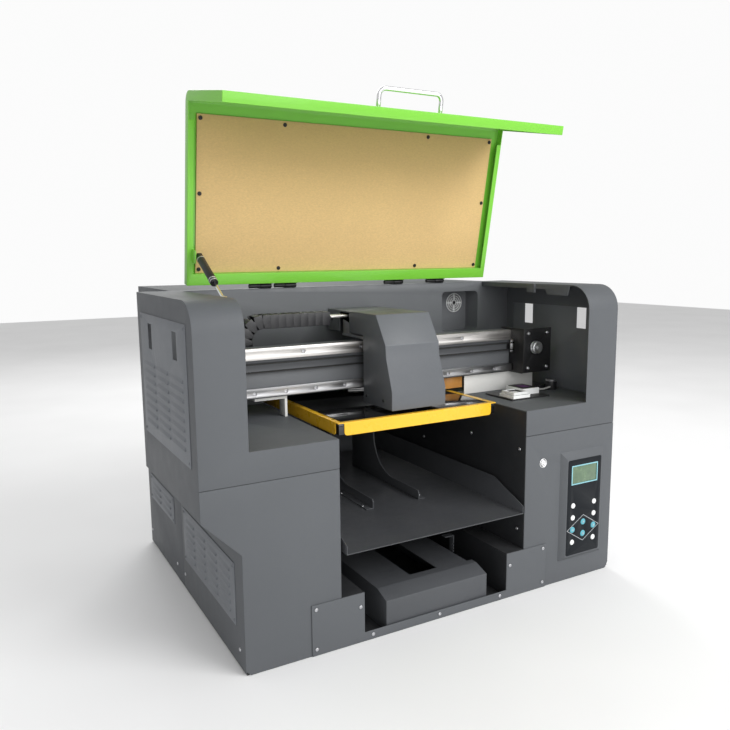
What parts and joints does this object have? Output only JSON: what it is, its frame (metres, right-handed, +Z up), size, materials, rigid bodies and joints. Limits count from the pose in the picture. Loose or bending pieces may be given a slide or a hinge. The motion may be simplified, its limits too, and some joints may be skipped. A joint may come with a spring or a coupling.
{
  "type": "flatbed uv printer",
  "caption": "Desktop flatbed UV printer with a lift-up lid, a cross beam with a belt-driven print carriage, and a media bed that slides forward and drops on its lift column.",
  "frame": {"origin": "on the floor, under the middle of the cabinet's width and depth", "axes": "+Z up, +X to the right as the operator faces the machine, +Y from the front to the back"},
  "size_m": [0.8674, 0.6423, 0.9375],
  "materials": {
    "dark_shell": "satin textured powder coat, dark slate grey",
    "liner_black": "matt black paint",
    "vent_grey": "satin powder coat, mid grey",
    "wall_grey": "satin powder coat, grey",
    "bare_steel": "brushed stainless steel",
    "aluminium": "satin anodised",
    "screw_zinc": "zinc plated",
    "black_plastic": "matt black",
    "white_plastic": "matt white",
    "amber": "translucent amber",
    "belt_rubber": "black toothed belt",
    "green_paint": "gloss lime green",
    "tan_board": "tan fibreboard insulation panel",
    "chrome": "polished",
    "bed_black": "gloss black anodised",
    "bed_yellow": "satin yellow",
    "key_white": "matt white",
    "key_blue": "matt blue",
    "panel_black": "gloss black overlay"
  },
  "bodies": {
    "machine": {"base_pan": "liner_black", "left_lower_shell": "dark_shell", "right_lower_shell": "dark_shell", "left_upper_cover": "dark_shell", "right_upper_cover": "dark_shell", "rear_body": "dark_shell", "rear_panel": "dark_shell", "interior_back_wall": "wall_grey", "tower_liners": "liner_black", "side_vents": "vent_grey", "front_skirt": "dark_shell", "rail_boxes": "liner_black", "cabinet_screws": "screw_zinc", "drive_housing": "wall_grey", "fan_box": "black_plastic", "fan_grille": "screw_zinc", "beam": "wall_grey", "beam_steel_bar": "bare_steel", "linear_rail": "bare_steel", "beam_feet": "bare_steel", "amber_guard": "amber", "beam_brackets": "liner_black", "belt": "belt_rubber", "carriage_motor": "liner_black", "cap_base": "black_plastic", "hinge_bases": "liner_black", "keypad_bezel": "dark_shell", "keypad_panel": "panel_black"},
    "lid": {"lid_shell": "green_paint", "lid_panel": "tan_board", "lid_handle": "chrome", "lid_screws": "liner_black", "lid_hinges": "liner_black"},
    "strut_rod": {"strut_rod": "chrome"},
    "strut_cylinder": {"strut_cylinder": "liner_black"},
    "carriage": {"carriage_cover": "vent_grey", "carriage_plate": "aluminium", "print_head": "black_plastic", "uv_lamp": "aluminium", "cable_chain": "black_plastic"},
    "drive_pulley": {"drive_pulley": "aluminium"},
    "idler_pulley": {"idler_pulley": "aluminium"},
    "table_slide": {"table_slide_block": "wall_grey"},
    "table": {"deck": "wall_grey", "deck_ribs": "wall_grey", "bed_plate": "bed_black", "bed_frame": "bed_yellow"},
    "cap_pad": {"cap_pad": "white_plastic"},
    "fan_rotor": {"fan_rotor": "black_plastic"},
    "power_button": {"power_button": "chrome"},
    "key_menu": {"key_menu": "key_white"},
    "key_home": {"key_home": "key_white"},
    "key_load": {"key_load": "key_white"},
    "key_eject": {"key_eject": "key_white"},
    "key_cancel": {"key_cancel": "key_white"},
    "key_print": {"key_print": "key_white"},
    "arrow_up": {"arrow_up": "key_blue"},
    "arrow_right": {"arrow_right": "key_blue"},
    "arrow_left": {"arrow_left": "key_blue"},
    "arrow_down": {"arrow_down": "key_blue"}
  },
  "joints": [
    {"name": "lid_hinge", "type": "hinge", "parent": "machine", "child": "lid", "pos_m": [0, 0.015, 0.596], "axis": [1, 0, 0], "range_deg": [0, 79]},
    {"name": "strut_pivot", "type": "hinge", "parent": "machine", "child": "strut_rod", "pos_m": [-0.326, -0.151, 0.581], "axis": [1, 0, 0], "range_deg": [-31.98, 0]},
    {"name": "strut_slide", "type": "slide", "parent": "strut_rod", "child": "strut_cylinder", "axis": [0, 0.8776, 0.4793], "range_m": [-0.04879, 0]},
    {"name": "carriage_slide", "type": "slide", "parent": "machine", "child": "carriage", "axis": [1, 0, 0], "range_m": [-0.14, 0.26]},
    {"name": "drive_pulley_spin", "type": "hinge", "parent": "machine", "child": "drive_pulley", "pos_m": [0.35, -0.124, 0.456], "axis": [0, 1, 0], "range_deg": [-1071, 1988]},
    {"name": "idler_pulley_spin", "type": "hinge", "parent": "machine", "child": "idler_pulley", "pos_m": [-0.384, -0.124, 0.456], "axis": [0, 1, 0], "range_deg": [-1071, 1988]},
    {"name": "table_slide", "type": "slide", "parent": "machine", "child": "table_slide", "axis": [0, -1, 0], "range_m": [-0.05, 0.33]},
    {"name": "table_lift", "type": "slide", "parent": "table_slide", "child": "table", "axis": [0, 0, 1], "range_m": [-0.06, 0]},
    {"name": "cap_lift", "type": "slide", "parent": "machine", "child": "cap_pad", "axis": [0, 0, 1], "range_m": [-0.005, 0]},
    {"name": "fan_spin", "type": "hinge", "parent": "machine", "child": "fan_rotor", "pos_m": [0.304, 0.065, 0.541], "axis": [0, 1, 0], "continuous": true},
    {"name": "power_button_press", "type": "slide", "parent": "machine", "child": "power_button", "axis": [0, 1, 0], "range_m": [0, 0.002], "stiffness_N_per_m": 600},
    {"name": "key_menu_press", "type": "slide", "parent": "machine", "child": "key_menu", "axis": [0, 1, 0], "range_m": [0, 0.001], "stiffness_N_per_m": 400},
    {"name": "key_home_press", "type": "slide", "parent": "machine", "child": "key_home", "axis": [0, 1, 0], "range_m": [0, 0.001], "stiffness_N_per_m": 400},
    {"name": "key_load_press", "type": "slide", "parent": "machine", "child": "key_load", "axis": [0, 1, 0], "range_m": [0, 0.001], "stiffness_N_per_m": 400},
    {"name": "key_eject_press", "type": "slide", "parent": "machine", "child": "key_eject", "axis": [0, 1, 0], "range_m": [0, 0.001], "stiffness_N_per_m": 400},
    {"name": "key_cancel_press", "type": "slide", "parent": "machine", "child": "key_cancel", "axis": [0, 1, 0], "range_m": [0, 0.001], "stiffness_N_per_m": 400},
    {"name": "key_print_press", "type": "slide", "parent": "machine", "child": "key_print", "axis": [0, 1, 0], "range_m": [0, 0.001], "stiffness_N_per_m": 400},
    {"name": "arrow_up_press", "type": "slide", "parent": "machine", "child": "arrow_up", "axis": [0, 1, 0], "range_m": [0, 0.001], "stiffness_N_per_m": 400},
    {"name": "arrow_right_press", "type": "slide", "parent": "machine", "child": "arrow_right", "axis": [0, 1, 0], "range_m": [0, 0.001], "stiffness_N_per_m": 400},
    {"name": "arrow_left_press", "type": "slide", "parent": "machine", "child": "arrow_left", "axis": [0, 1, 0], "range_m": [0, 0.001], "stiffness_N_per_m": 400},
    {"name": "arrow_down_press", "type": "slide", "parent": "machine", "child": "arrow_down", "axis": [0, 1, 0], "range_m": [0, 0.001], "stiffness_N_per_m": 400}
  ],
  "couplings": [
    {"joint": "strut_pivot", "follows": "lid_hinge", "ratio": -0.40474},
    {"joint": "strut_slide", "follows": "lid_hinge", "m_per_rad": -0.035381},
    {"joint": "drive_pulley_spin", "follows": "carriage_slide", "rad_per_m": 133.33},
    {"joint": "idler_pulley_spin", "follows": "carriage_slide", "rad_per_m": 133.33}
  ]
}
